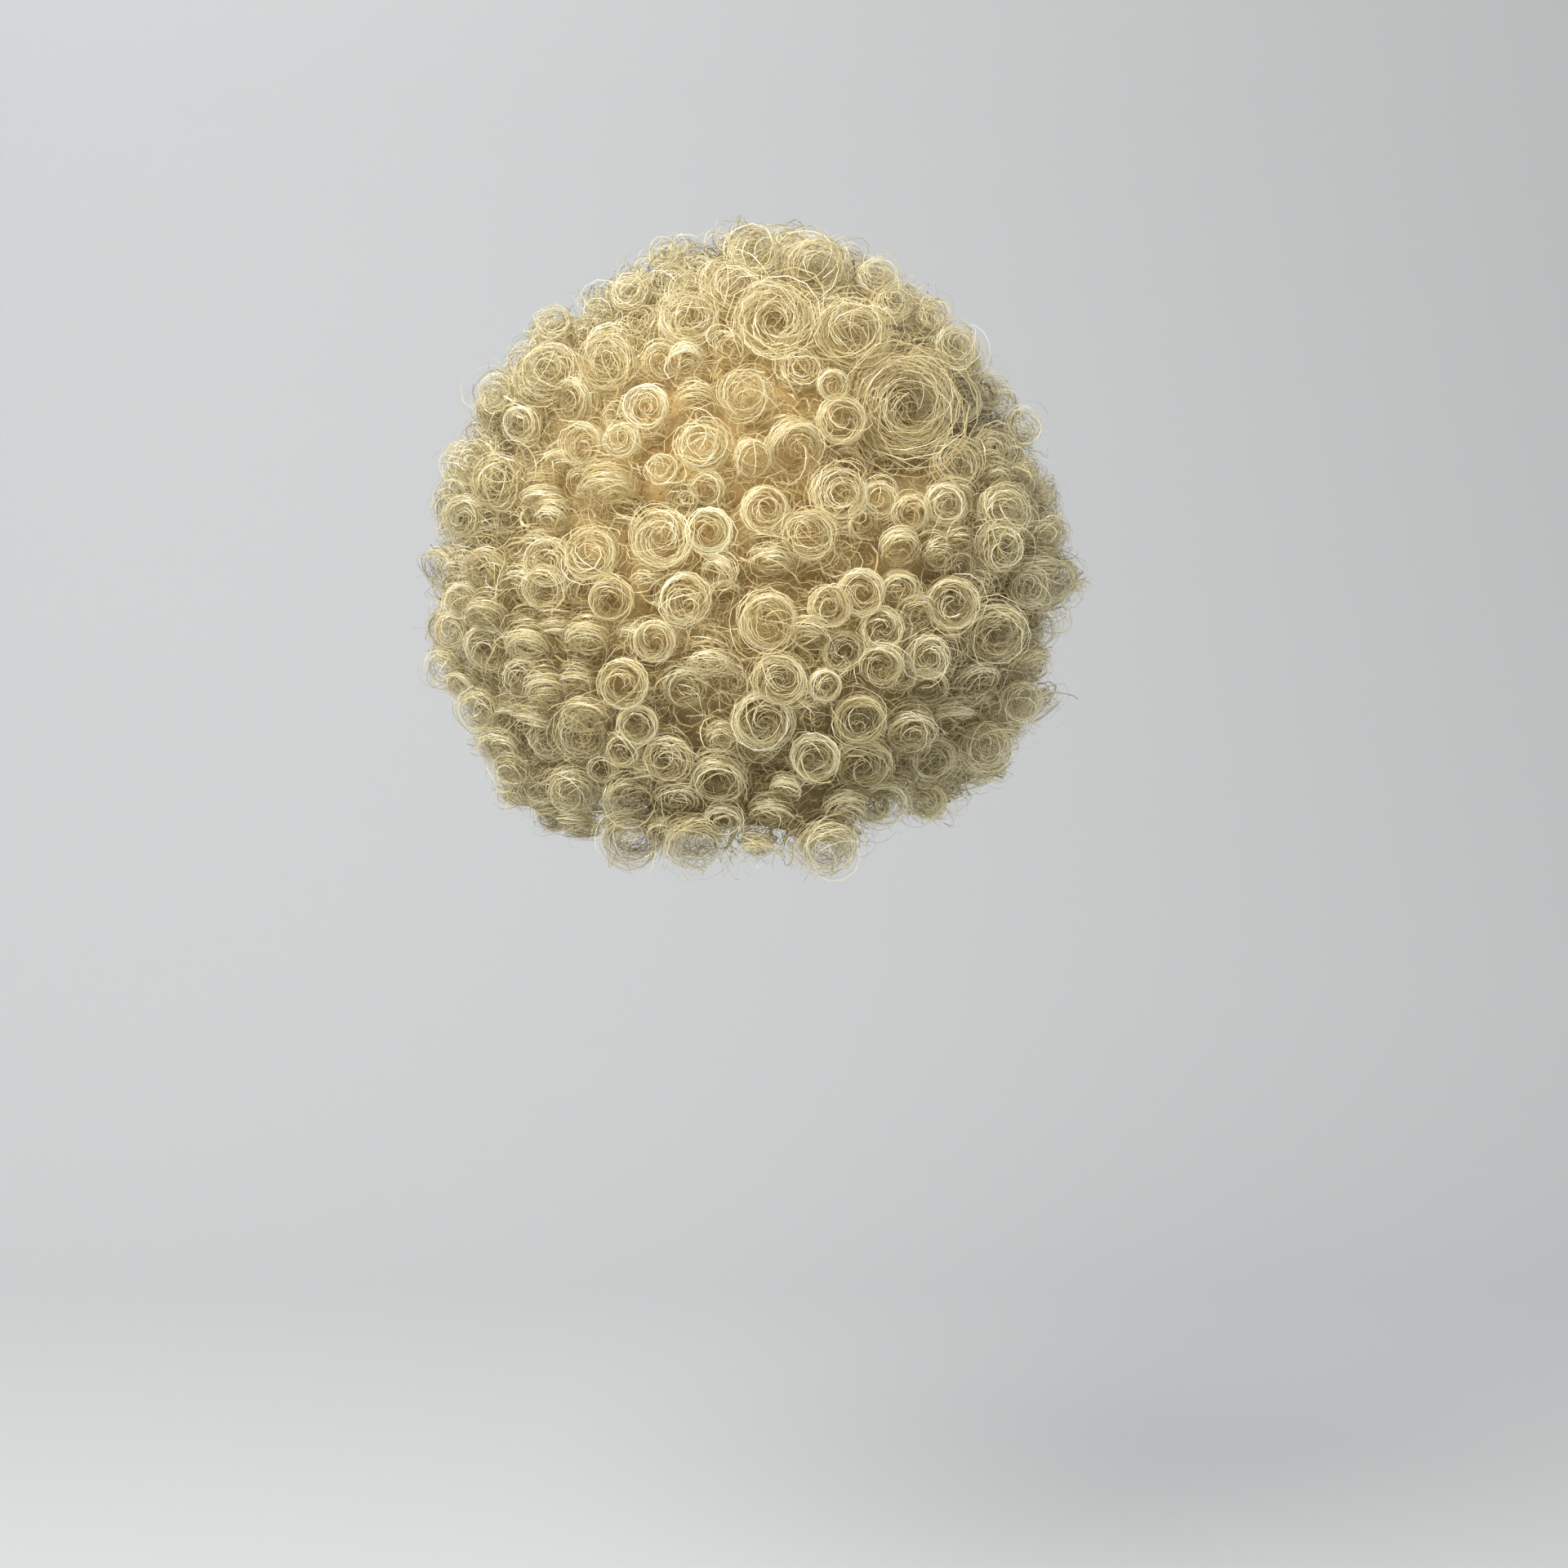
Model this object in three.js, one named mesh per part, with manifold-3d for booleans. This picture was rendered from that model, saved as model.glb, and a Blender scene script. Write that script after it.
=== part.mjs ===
// An afro wig of blond ringlets: a stretch cap, a round tuft of curls at its crown, and rows of hair
// sewn below one another down to the nape, each row a band of frizz with its ringlets standing out.
// Millimetres, +Z up. The wearer faces +Y, so -Y is the back of the head and +X the wearer's right.
// The origin is the inside of the cap at the crown, where the head carries the wig.
// A direction out of the head is given as around, in degrees from the middle of the back towards the
// wearer's right, and down, in degrees from straight up.
import * as THREE from "three";
import { mergeVertices } from "three/addons/utils/BufferGeometryUtils.js";
import Module from "manifold-3d";

// The head that fills the cap, measured inside the cap
const headWidth = 154;
const headDepth = 196;
const crownHeight = 84; // from the middle of the head, at its widest level, up to the crown
const headTaper = 128; // from the widest level down to where the narrowing head would close

// The cap
const capWall = 1.8;
const sewnGap = 1.3; // between the cap and the frizz, which is flat between its corners
const capRings = 8; // steps from the crown down to the cap's edge

// The hair, measured from the middle of the head
const hairReach = 170; // out to the ends of the ringlets, level with the ears
const backReach = 171;
const frontReach = 157;
const tuftAngle = 18; // half the crown tuft's spread, in degrees
const rowCount = 10;
const rowSplit = 0.22; // half the parting between two rows, in degrees

// The ringlets
const curlWidth = 34;
const curlPitch = 43; // between neighbours of a row
const curlRise = 17; // how far a ringlet stands out of the frizz
const curlRoot = 7; // how far it reaches down into the frizz
const curlHollow = 9; // depth of the hole that a coil shows at its end
const curlWaist = 0.7; // the width at its root, as a share of curlWidth
const curlLip = 0.62; // the width at its end, as a share of curlWidth
const lipDrop = 6; // from its end down to its widest level
const curlSides = 6;
const smallestCurl = 0.85; // as a share of curlWidth
const curlShift = 1.2; // how far a ringlet may sit off its row's middle
const curlSway = 2; // how far it may sit off its even place along the row
const tuftCurls = 6; // round the one in the middle
const tuftRing = 0.64; // their place, as a share of tuftAngle
const tuftGap = 2; // between neighbours there

const aroundStep = 15; // degrees between the sections of a piece
const fullAngle = 360;

// The lower edge, alike on both sides, in degrees: around, and how far down the cap and the tips of
// the hair reach there. The ear tabs are at 110, and the face is open from 130 on.
const lowerEdge = [
  { around: 0, cap: 142, hair: 158 },
  { around: 30, cap: 141, hair: 157 },
  { around: 55, cap: 127, hair: 153 },
  { around: 75, cap: 114, hair: 150 },
  { around: 95, cap: 112, hair: 146 },
  { around: 110, cap: 121, hair: 139 },
  { around: 125, cap: 98, hair: 118 },
  { around: 145, cap: 76, hair: 92 },
  { around: 180, cap: 68, hair: 76 },
];

// The outline as seen from behind: degrees clockwise from the top, and the reach as a share of
// hairReach.
const outline = [
  { clock: 0, reach: 1.02 },
  { clock: 26, reach: 0.98 },
  { clock: 47, reach: 0.95 },
  { clock: 65, reach: 0.93 },
  { clock: 90, reach: 0.96 },
  { clock: 108, reach: 0.96 },
  { clock: 122, reach: 1.01 },
  { clock: 145, reach: 1.01 },
  { clock: 164, reach: 1.03 },
  { clock: 180, reach: 1.02 },
  { clock: 202, reach: 1.05 },
  { clock: 230, reach: 1.1 },
  { clock: 246, reach: 1.08 },
  { clock: 270, reach: 1.01 },
  { clock: 296, reach: 1 },
  { clock: 315, reach: 0.99 },
  { clock: 330, reach: 0.96 },
  { clock: 360, reach: 1.02 },
];

// Creases where one mass of curls overhangs the next, each from one direction to another, with its
// half width in degrees and its depth as a share of hairReach.
const creases = [
  { around: 22, down: 77, toAround: 68, toDown: 64, halfWidth: 14, depth: 0.11 },
  { around: -104, down: 119, toAround: -76, toDown: 123, halfWidth: 11, depth: 0.07 },
  { around: 84, down: 108, toAround: 100, toDown: 112, halfWidth: 11, depth: 0.05 },
];

// Ringlets that stand clear of the rest: their direction, how wide the swelling is in degrees, and
// their extra reach as a share of hairReach.
const standouts = [
  { around: 90, down: 96, spread: 9, extra: 0.06 },
  { around: -90, down: 41, spread: 9, extra: 0.04 },
  { around: 90, down: 53, spread: 8, extra: 0.03 },
  { around: 18, down: 152, spread: 15, extra: 0.13 },
  { around: -20, down: 152, spread: 15, extra: 0.12 },
];

const netting = { color: 0xcdb583, roughness: 0.85, metalness: 0 };
const blond = { color: 0xe6d6a2, roughness: 0.45, metalness: 0 };

const { degToRad, radToDeg, euclideanModulo, lerp, smoothstep, seededRandom } = THREE.MathUtils;

const headCentre = new THREE.Vector3(0, 0, -crownHeight);

const wasm = await Module();
wasm.setup();
seededRandom(7);

// The value of a table's column at a place along its key column.
function read(table, key, place, column) {
  const next = Math.max(1, table.findIndex((row) => row[key] >= place));
  const from = table[next - 1];
  const to = table[next];
  return lerp(from[column], to[column], (place - from[key]) / (to[key] - from[key]));
}

function direction(around, down) {
  const point = new THREE.Vector3().setFromSphericalCoords(1, degToRad(down), degToRad(around));
  return point.applyAxisAngle(new THREE.Vector3(1, 0, 0), Math.PI / 2);
}

// How far down the cap or the hair reaches at a place around the head.
function edgeAt(around, column) {
  const side = Math.abs(euclideanModulo(around + fullAngle / 2, fullAngle) - fullAngle / 2);
  return read(lowerEdge, "around", side, column);
}

// The head's surface, or a layer that lies outward of it.
function headPoint(around, down, outward) {
  const ray = direction(around, down);
  const halfHeight = ray.z > 0 ? crownHeight : headTaper;
  const halves = new THREE.Vector3(headWidth / 2, headDepth / 2, halfHeight).addScalar(outward);
  return ray.divideScalar(ray.clone().divide(halves).length()).add(headCentre);
}

// How far the ringlets' ends are from the middle of the head in a direction.
function reachAt(around, down) {
  const ray = direction(around, down);
  const clock = euclideanModulo(radToDeg(Math.atan2(ray.x, ray.z)), fullAngle);
  const lengthways = ray.y < 0 ? backReach : frontReach;
  let reach = lerp(hairReach * read(outline, "clock", clock, "reach"), lengthways, ray.y ** 2);
  for (const crease of creases) {
    const ends = [direction(crease.around, crease.down), direction(crease.toAround, crease.toDown)];
    const nearest = new THREE.Line3(...ends).closestPointToPoint(ray, true, new THREE.Vector3());
    const away = radToDeg(ray.angleTo(nearest));
    reach -= hairReach * crease.depth * (1 - smoothstep(away, 0, crease.halfWidth));
  }
  for (const { around: middle, down: height, spread, extra } of standouts) {
    const away = radToDeg(ray.angleTo(direction(middle, height)));
    reach += hairReach * extra * (1 - smoothstep(away, 0, spread));
  }
  return reach;
}

// Where the hair that ends in a direction grows from the cap.
function rootPoint(around, down) {
  const rootDown = down * edgeAt(around, "cap") / edgeAt(around, "hair");
  return headPoint(around, rootDown, capWall + sewnGap);
}

// The end of the hair in a direction, or a place that lies nearer to its root by sunk.
function hairPoint(around, down, sunk) {
  const tip = direction(around, down).multiplyScalar(reachAt(around, down)).add(headCentre);
  const along = tip.clone().sub(rootPoint(around, down));
  return tip.addScaledVector(along.normalize(), -sunk);
}

function solid(geometry) {
  geometry.deleteAttribute("normal");
  geometry.deleteAttribute("uv");
  const merged = mergeVertices(geometry);
  return new wasm.Manifold(new wasm.Mesh({
    numProp: 3,
    vertProperties: new Float32Array(merged.attributes.position.array),
    triVerts: new Uint32Array(merged.index.array),
  }));
}

function piece(name, shape, look) {
  const mesh = shape.getMesh();
  const geometry = new THREE.BufferGeometry();
  geometry.setAttribute("position", new THREE.BufferAttribute(mesh.vertProperties, mesh.numProp));
  geometry.setIndex(new THREE.BufferAttribute(mesh.triVerts, 1));
  const result = new THREE.Mesh(geometry, new THREE.MeshStandardMaterial(look));
  result.name = name;
  return result;
}

// A flat turned disc, laid over the head. Its radius is the share of the way from the crown to its
// edge, and its height is the layer.
function domed(profile, place) {
  const disc = new THREE.LatheGeometry(profile, fullAngle / aroundStep);
  const spot = new THREE.Vector3();
  const { position } = disc.attributes;
  for (let i = 0; i < position.count; i += 1) {
    spot.fromBufferAttribute(position, i);
    const around = radToDeg(Math.atan2(spot.x, spot.z));
    const { x, y, z } = place(around, Math.hypot(spot.x, spot.z), spot.y);
    position.setXYZ(i, x, y, z);
  }
  return solid(disc);
}

function cap() {
  const shares = Array.from({ length: capRings + 1 }, (_, ring) => ring / capRings);
  const inside = shares.map((share) => new THREE.Vector2(share, 0));
  const outside = shares.map((share) => new THREE.Vector2(share, capWall)).reverse();
  const place = (around, share, layer) => headPoint(around, share * edgeAt(around, "cap"), layer);
  return domed([...inside, ...outside], place);
}

// A ringlet: a barrel that widens outward from its root, with a hollow at its end.
function ringlet(around, down, width, shift) {
  const half = width / 2;
  const rootLevel = -curlRise - curlRoot;
  const profile = [
    new THREE.Vector2(0, rootLevel),
    new THREE.Vector2(half * curlWaist, rootLevel),
    new THREE.Vector2(half, -lipDrop),
    new THREE.Vector2(half * curlLip, 0),
    new THREE.Vector2(0, -curlHollow),
  ];
  const tip = hairPoint(around, down, shift);
  const axis = tip.clone().sub(rootPoint(around, down)).normalize();
  const barrel = new THREE.LatheGeometry(profile, curlSides, seededRandom());
  barrel.applyQuaternion(new THREE.Quaternion().setFromUnitVectors(new THREE.Vector3(0, 1, 0), axis));
  barrel.translate(tip.x, tip.y, tip.z);
  return solid(barrel);
}

function crownTuft() {
  const edge = tuftAngle - rowSplit;
  const rootLayer = 0;
  const tipLayer = 1;
  const profile = [
    new THREE.Vector2(0, rootLayer),
    new THREE.Vector2(edge, rootLayer),
    new THREE.Vector2(edge, tipLayer),
    new THREE.Vector2(edge / 2, tipLayer),
    new THREE.Vector2(0, tipLayer),
  ];
  const place = (around, down, layer) =>
    layer === tipLayer ? hairPoint(around, down, curlRise) : rootPoint(around, down);
  const ring = tuftAngle * tuftRing;
  const width = hairReach * Math.sin(degToRad(ring)) - tuftGap;
  const curls = [ringlet(0, 0, width, 0)];
  for (let i = 0; i < tuftCurls; i += 1) {
    curls.push(ringlet((i + 0.5) * fullAngle / tuftCurls, ring, width, 0));
  }
  return wasm.Manifold.union([domed(profile, place), ...curls]);
}

// The band of frizz that carries a row's ringlets, from section to section. Where it doesn't close
// round the head, its two ends are capped.
function frizz(sections, top, bottomAt) {
  const closed = sections.length === fullAngle / aroundStep;
  const points = [];
  for (const around of sections) {
    const [high, low] = [top + rowSplit, bottomAt(around) - rowSplit];
    points.push(rootPoint(around, high), hairPoint(around, high, curlRise));
    points.push(hairPoint(around, low, curlRise), rootPoint(around, low));
  }
  const corners = 4;
  const faces = [];
  const square = (a, b, c, d) => faces.push(a, c, b, a, d, c);
  const spans = closed ? sections.length : sections.length - 1;
  for (let span = 0; span < spans; span += 1) {
    const here = span * corners;
    const there = ((span + 1) % sections.length) * corners;
    // Both flanks are split from root to tip the same way, so that neighbouring rows lie parallel.
    square(there, there + 1, here + 1, here);
    square(here + 1, there + 1, there + 2, here + 2);
    square(there + 3, here + 3, here + 2, there + 2);
    square(here + 3, there + 3, there, here);
  }
  if (!closed) {
    const last = points.length - corners;
    square(0, 1, 2, 3);
    square(last + 3, last + 2, last + 1, last);
  }
  const skin = new THREE.BufferGeometry().setFromPoints(points);
  skin.setIndex(faces);
  return solid(skin);
}

// A row of hair. It runs as far round as the hair's lower edge leaves it half its height.
function row(index) {
  const rowAngle = (edgeAt(0, "hair") - tuftAngle) / rowCount;
  const top = tuftAngle + index * rowAngle;
  const bottomAt = (around) => Math.min(top + rowAngle, edgeAt(around, "hair"));
  const sections = [];
  for (let around = aroundStep - fullAngle / 2; around <= fullAngle / 2; around += aroundStep) {
    if (bottomAt(around) - top > rowAngle / 2) sections.push(around);
  }
  const closed = sections.length === fullAngle / aroundStep;
  const first = closed ? -fullAngle / 2 : sections[0];
  const middle = top + rowAngle / 2;
  const length = degToRad(-2 * first) * hairReach * Math.sin(degToRad(middle));
  const count = Math.round(length / curlPitch);
  const curls = [];
  for (let i = 0; i < count; i += 1) {
    const sway = (2 * seededRandom() - 1) * curlSway / curlPitch;
    const around = first - 2 * first * (i + 0.5 + sway) / count;
    const bottom = Math.min(bottomAt(around - aroundStep / 2), bottomAt(around + aroundStep / 2));
    const share = (bottom - top) / rowAngle;
    const stray = radToDeg(curlShift / hairReach) * (2 * seededRandom() - 1) * share;
    const down = (top + bottom) / 2 + stray;
    // Down in a crease there is less room between the rows.
    const squeeze = Math.min(1, reachAt(around, down) / hairReach) ** 2;
    const width = curlWidth * lerp(smallestCurl, 1, seededRandom()) * share * squeeze;
    curls.push(ringlet(around, down, width, curlShift * seededRandom()));
  }
  return wasm.Manifold.union([frizz(sections, top, bottomAt), ...curls]);
}

const wig = new THREE.Group();
wig.name = "afro_wig";
wig.add(piece("cap", cap(), netting));
wig.add(piece("crown_tuft", crownTuft(), blond));
for (let index = 0; index < rowCount; index += 1) {
  wig.add(piece(`hair_row_${String(index + 1).padStart(2, "0")}`, row(index), blond));
}

export default wig;
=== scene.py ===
"""Afro wig of blond ringlets.

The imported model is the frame: its cap and its rows of hair say how large each piece is and what it
stands for. Here the cap gets its net, and each row of hair is made strand by strand: ringlets wound
from fine flat strands, frizz between them, and a dense mat of hair underneath. All of a row's strands
are one mesh. Sizes are in millimetres until a mesh is made, and the wearer faces +Y.
"""

import copy
import math

import bpy
import numpy as np
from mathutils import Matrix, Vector


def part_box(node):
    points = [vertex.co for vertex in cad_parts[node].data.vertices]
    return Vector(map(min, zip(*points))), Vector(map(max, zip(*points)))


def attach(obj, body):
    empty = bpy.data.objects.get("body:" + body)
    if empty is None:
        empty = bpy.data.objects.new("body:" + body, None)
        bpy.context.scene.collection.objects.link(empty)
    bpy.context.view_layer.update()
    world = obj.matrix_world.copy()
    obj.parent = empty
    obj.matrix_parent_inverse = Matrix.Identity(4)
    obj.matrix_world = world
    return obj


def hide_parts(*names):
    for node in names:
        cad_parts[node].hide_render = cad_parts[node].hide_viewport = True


bl_info = {
    "name": "Ringlet Wig",
    "version": (1, 0, 0),
    "blender": (4, 5, 0),
    "location": "3D View > Sidebar > Wig",
    "description": "Makes an afro wig of ringlets on a net cap, strand by strand",
    "category": "Add Mesh",
}

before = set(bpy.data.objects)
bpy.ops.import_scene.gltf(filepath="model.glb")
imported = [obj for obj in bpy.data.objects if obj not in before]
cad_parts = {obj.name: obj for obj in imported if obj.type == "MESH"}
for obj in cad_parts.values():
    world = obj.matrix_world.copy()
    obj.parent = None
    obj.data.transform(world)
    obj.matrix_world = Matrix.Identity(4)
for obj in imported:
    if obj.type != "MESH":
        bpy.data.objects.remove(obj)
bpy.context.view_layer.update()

MM = 0.001
CAP_BOX = np.array(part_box("cap")) / MM

# The head inside the cap
CAP_WALL = 1.8
SEWN_GAP = 1.3
CROWN_HEIGHT = CAP_BOX[1, 2] - CAP_WALL + 84.0
HEAD_TAPER = 128.0
HEAD_HALF_WIDTH = 77.0
HEAD_HALF_DEPTH = 98.0
HEAD_CENTRE = np.array((0.0, 0.0, -CROWN_HEIGHT))

# The hair, measured from the middle of the head
HAIR_REACH = 170.0
BACK_REACH = 171.0
FRONT_REACH = 157.0
TUFT_ANGLE = 18.0
ROWS = ["crown_tuft"] + [f"hair_row_{row:02d}" for row in range(1, 11)]

# The lower edge, alike on both sides, in degrees: around from the middle of the back, and how far
# down from the top the cap and the tips of the hair reach there.
LOWER_EDGE = {
    "around": (0, 30, 55, 75, 95, 110, 125, 145, 180),
    "cap": (142, 141, 127, 114, 112, 121, 98, 76, 68),
    "hair": (158, 157, 153, 150, 146, 139, 118, 92, 76),
}

# The outline seen from behind: degrees clockwise from the top, and shares of HAIR_REACH.
OUTLINE = {
    "clock": (0, 26, 47, 65, 90, 108, 122, 145, 164, 180, 202, 230, 246, 270, 296, 315, 330, 360),
    "reach": (1.02, 0.98, 0.95, 0.93, 0.96, 0.96, 1.01, 1.01, 1.03, 1.02, 1.05, 1.1, 1.08, 1.01, 1.0,
              0.99, 0.96, 1.02),
}

# Creases where one mass of curls overhangs the next: from and to as (around, down), half width in
# degrees, and depth as a share of HAIR_REACH.
CREASES = (
    ((22, 77), (68, 64), 14, 0.11),
    ((-104, 119), (-76, 123), 11, 0.07),
    ((84, 108), (100, 112), 11, 0.05),
)

# Where ringlets stand clear of the rest: (around, down), spread in degrees, and extra reach.
STANDOUTS = (
    ((90, 96), 9, 0.06),
    ((-90, 41), 9, 0.04),
    ((90, 53), 8, 0.03),
    ((18, 152), 15, 0.13),
    ((-20, 152), 15, 0.12),
)

# The ringlets. Those that the view from behind doesn't place are strewn in the room that is left.
USUAL_WIDTH = 20.0
WIDEST_GAP = 26.0  # a wider swirl takes up no more room than this
WIDEST_STRAY = 12.0  # the largest half width that strays are measured by
STREWN_DRAWN_IN = 0.42  # how far one seen from its side is drawn in, as a share of its width
SEEN_SUNK = 3.0
STREWN_SUNK = (0.0, 15.0)
STREWN_WIDTH = (15.0, 27.0)
STREWN_NEAT = (0.15, 1.0)
CANDIDATES = 20000  # directions tried for the strewn ringlets
EDGE_MARGIN = 2.0  # degrees that a strewn ringlet's middle keeps from the lower edge
NAPE_MARGIN = 9.0  # the same at the nape, where the lowest ringlets are those that the view places
NAPE_HALF = 60.0  # how far round the nape reaches to either side
FRONT_HALF = 0.15  # hair further forward than this, as a unit vector's Y, turns to the front
AXIS_SCATTER = 0.18
MOST_BURIED = 3.0

# The mat under the ringlets, coloured dark as painted shade
MAT_SUNK = 27.0
MAT_STEP = 2.5  # degrees between its sections
MAT_RINGS = 5
MAT_OVERLAP = 0.5  # degrees that the thin end of a mat keeps
MAT_HOLE = 0.4  # degrees round the very top, where sections would meet
EDGE_DEPTH = 5.0  # degrees from the mat's lower edge to the hair's

# A strand's place on the colour map
MAP_HALF_WIDTH = 0.004
WARMTH_RANGE = (0.01, 0.99)
TONE_RANGE = (0.12, 0.99)
# The mat's tones lie at the dark end of the map: painted shade.
MAT_SHADE_TONE = (0.02, 0.08)
MAT_ROUGHNESS = 0.95
WARMTH_SCATTER = 0.08
# Where the hair is warmest and brightest; its darker colours round the sides and below are painted shade.
WARMEST = (-5.0, 80.0)  # around and down

# The cap's finish: cells of the net and steps between its lines of stitching in metres, and the hem
NET_CELL = 0.003
STITCH_STEP = 0.012
HEM_RADIUS = 2.0
HEM_SIDES = 8
HEM_STEP = 3.0  # degrees between its sections
HEM_EASE = 3  # sections to either side that its course is averaged over

# Layers of loose strands. share is of the number in the settings, and sunk is how deep their middles
# lie. width is a share of the usual width. All but share are from and to. The deeper layers have
# darker tones: painted shade.
FRIZZ = {
    "veil": {"share": 0.09, "sunk": (3.0, 11.0), "radius": (3.0, 9.0), "width": (0.3, 0.55),
             "tone": (0.5, 0.95)},
    "fine": {"share": 0.71, "sunk": (8.0, 21.0), "radius": (2.0, 7.5), "width": (0.45, 0.85),
             "tone": (0.2, 0.75)},
    "coarse": {"share": 0.2, "sunk": (16.0, 25.0), "radius": (4.0, 9.0), "width": (1.6, 3.2),
               "tone": (0.12, 0.4)},
}

# The backdrop, in metres: a floor that bends up into a wall well in front of the wearer
FLOOR = -0.72
FLOOR_START = -4.0
WALL = 3.0
WALL_TOP = 3.5
BEND = 1.6
BACKDROP_HALF = 4.0

# The soft lights: place and aim in metres, side of the square, watts and colour
LIGHTS = (
    ("key_light", (-0.75, -1.6, 1.05), (0.0, 0.0, -0.1), 1.2, 56.0, (1.0, 0.98, 0.95)),
    ("fill_light", (1.6, -1.4, 0.2), (0.0, 0.0, -0.1), 1.6, 9.0, (0.95, 0.97, 1.0)),
    ("backdrop_light", (-1.6, 1.0, 2.6), (0.0, WALL, -0.2), 1.5, 34.0, (0.98, 0.99, 1.0)),
)
SKY_COLOUR = (0.95, 0.97, 1.0, 1.0)
SKY_STRENGTH = 0.38

# The view from behind: 0.43 mm of the wig's width in each pixel of a picture 1920 pixels wide
CAMERA_PLACE = np.array((13.3, -1500.0, -204.7))
VIEW_WIDTH = 825.6
PIXEL = 0.43
ORIGIN_PIXEL = (929, 484)

# Ringlets that stand out in that view: centre in pixels, outer width in mm, how far each hangs, from
# 0, turned to the viewer, to 1, straight down, and how neat it is, from 0, a loose swirl, to 1, a ring.
SEEN_CURLS = (
    (1022, 468, 15, 0.0, 1.0), (1033, 512, 23, 0.0, 0.9), (788, 497, 21, 0.1, 0.9),
    (708, 543, 20, 0.1, 0.7), (861, 543, 24, 0.0, 0.3), (922, 560, 17, 0.2, 0.5),
    (630, 518, 18, 0.2, 0.7), (604, 590, 26, 0.0, 0.2), (665, 690, 22, 0.1, 0.8),
    (720, 680, 24, 0.0, 0.6), (806, 660, 28, 0.0, 0.4), (866, 652, 21, 0.0, 1.0),
    (938, 625, 23, 0.0, 0.8), (1030, 606, 26, 0.0, 0.5), (1079, 612, 18, 0.0, 0.5),
    (1118, 630, 17, 0.0, 0.6), (1162, 617, 20, 0.0, 0.9), (990, 655, 24, 0.2, 0.2),
    (745, 737, 21, 0.2, 0.9), (800, 788, 20, 0.0, 1.0), (837, 738, 24, 0.1, 0.4),
    (942, 765, 28, 0.1, 0.6), (1017, 745, 20, 0.0, 0.9), (1056, 728, 22, 0.0, 1.0),
    (1083, 773, 21, 0.1, 0.6), (1170, 742, 25, 0.0, 0.9), (1232, 672, 24, 0.1, 0.3),
    (1225, 780, 30, 0.2, 0.5), (1140, 808, 20, 0.1, 0.5), (1082, 820, 22, 0.2, 0.7),
    (1012, 845, 16, 0.0, 0.9), (955, 838, 26, 0.1, 0.6), (760, 843, 24, 0.0, 0.8),
    (715, 790, 21, 0.6, 0.8), (663, 855, 20, 0.6, 0.6), (640, 800, 20, 0.6, 0.8),
    (560, 740, 19, 0.2, 0.4), (935, 890, 28, 0.0, 0.6), (998, 932, 23, 0.0, 0.8),
    (1055, 888, 24, 0.1, 0.6), (1120, 905, 24, 0.3, 0.6), (1060, 945, 28, 0.2, 0.6),
    (778, 893, 20, 0.0, 0.8), (760, 925, 18, 0.1, 0.6), (815, 935, 24, 0.2, 0.5),
    (880, 965, 26, 0.3, 0.5), (700, 975, 26, 0.3, 0.4), (775, 1035, 30, 0.2, 0.2),
    (852, 1040, 28, 0.3, 0.3), (885, 1012, 19, 0.2, 0.6), (1010, 1045, 29, 0.2, 0.2),
    (1083, 990, 24, 0.2, 0.6), (1137, 990, 20, 0.0, 0.5), (715, 885, 24, 0.5, 0.5),
    (605, 925, 21, 0.3, 0.5), (840, 385, 29, 0.0, 0.3), (740, 440, 30, 0.1, 0.1),
    (895, 345, 29, 0.1, 0.1), (1000, 320, 29, 0.2, 0.4), (910, 480, 24, 0.2, 0.1),
    (870, 820, 24, 0.7, 0.6), (560, 635, 20, 0.1, 0.5), (674, 390, 19, 0.0, 0.5),
    (1300, 715, 21, 0.1, 0.5), (946, 387, 37, 0.0, 0.0), (1114, 494, 50, 0.0, 0.0),
    (1047, 404, 34, 0.0, 0.0), (665, 454, 31, 0.0, 0.0), (1148, 382, 16, 0.0, 0.6),
    (1176, 421, 22, 0.0, 0.4), (1215, 477, 18, 0.0, 0.5), (1260, 522, 20, 0.0, 0.3),
    (1226, 550, 22, 0.0, 0.3), (1288, 662, 17, 0.0, 0.6), (1266, 724, 19, 0.0, 0.6),
    (1254, 864, 20, 0.0, 0.5), (1210, 920, 25, 0.0, 0.3), (581, 875, 20, 0.0, 0.4),
    (536, 825, 19, 0.0, 0.4), (547, 774, 18, 0.0, 0.5), (575, 567, 22, 0.0, 0.3),
    (601, 482, 22, 0.0, 0.3), (766, 351, 20, 0.0, 0.4), (811, 303, 16, 0.0, 0.4),
    (923, 303, 24, 0.0, 0.2), (1080, 331, 20, 0.0, 0.4), (1097, 365, 18, 0.0, 0.4),
    (1175, 565, 24, 0.0, 0.2), (1236, 625, 26, 0.0, 0.3), (740, 600, 26, 0.7, 0.6),
    (808, 575, 15, 0.0, 0.4), (839, 443, 18, 0.5, 0.6), (587, 704, 24, 0.2, 0.6),
    (587, 763, 22, 0.5, 0.6), (660, 724, 22, 0.1, 0.5), (623, 949, 18, 0.3, 0.5),
    (768, 982, 24, 0.4, 0.5), (828, 985, 22, 0.5, 0.4), (945, 1008, 22, 0.6, 0.3),
    (1035, 1000, 22, 0.5, 0.4),
)

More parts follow.
